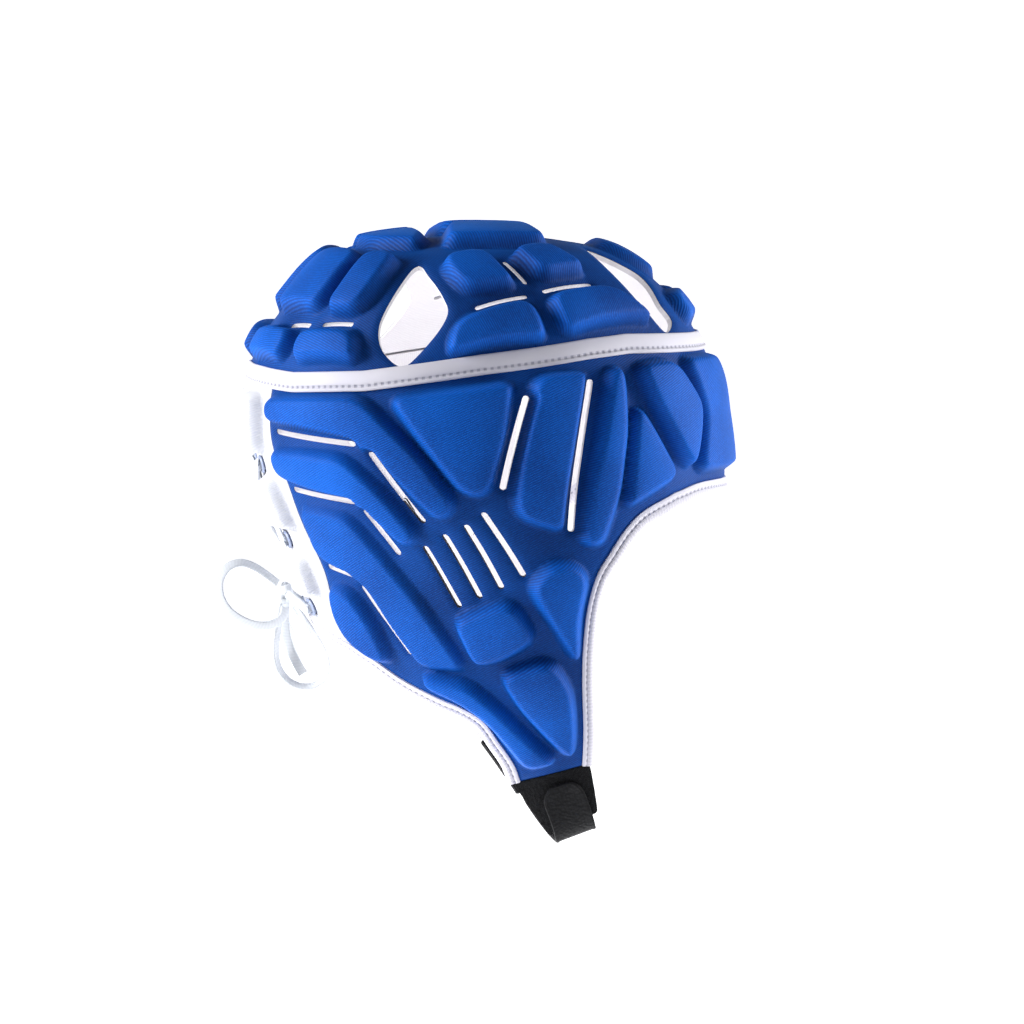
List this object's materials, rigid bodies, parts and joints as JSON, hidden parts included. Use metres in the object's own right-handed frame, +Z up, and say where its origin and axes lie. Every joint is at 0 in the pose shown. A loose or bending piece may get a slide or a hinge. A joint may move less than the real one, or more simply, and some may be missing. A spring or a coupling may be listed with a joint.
{
  "type": "rugby scrum cap",
  "caption": "Soft padded head guard as worn: slotted crown, flaps over the ears, laced nape panels and a strap under the chin.",
  "frame": {"origin": "the top of the hollow inside the crown, where the cap sits on a head", "axes": "+Z up, the face looks along -Y, the wearer's right is -X"},
  "size_m": [0.179, 0.2252, 0.2671],
  "materials": {
    "blue_padding": "knitted polyester over foam, slight sheen",
    "white_padding": "knitted polyester over foam, slight sheen",
    "pale_tape": "stitched knitted tape, matt",
    "pale_binding": "stitched ribbed binding, matt",
    "hook_and_loop": "fuzzy loop fabric",
    "strap_webbing": "fine hook tape on webbing, matt",
    "lace": "flat woven lace",
    "eyelet": "smooth, satin"
  },
  "bodies": {
    "root": {"crown": "blue_padding", "headband_tape": "pale_tape", "side_panel_right": "blue_padding", "side_panel_left": "blue_padding", "nape_panel_right": "white_padding", "nape_panel_left": "white_padding", "face_binding": "pale_binding", "neck_binding_right": "pale_binding", "neck_binding_left": "pale_binding", "chin_patch_right": "hook_and_loop", "chin_patch_left": "hook_and_loop", "chin_strap": "strap_webbing", "nape_lace": "lace", "lace_knot": "lace", "lace_loop_upper": "lace", "lace_loop_lower": "lace", "lace_end_right": "lace", "lace_end_left": "lace", "eyelet_right_1": "eyelet", "eyelet_right_2": "eyelet", "eyelet_right_3": "eyelet", "eyelet_left_1": "eyelet", "eyelet_left_2": "eyelet", "eyelet_left_3": "eyelet"}
  },
  "joints": []
}
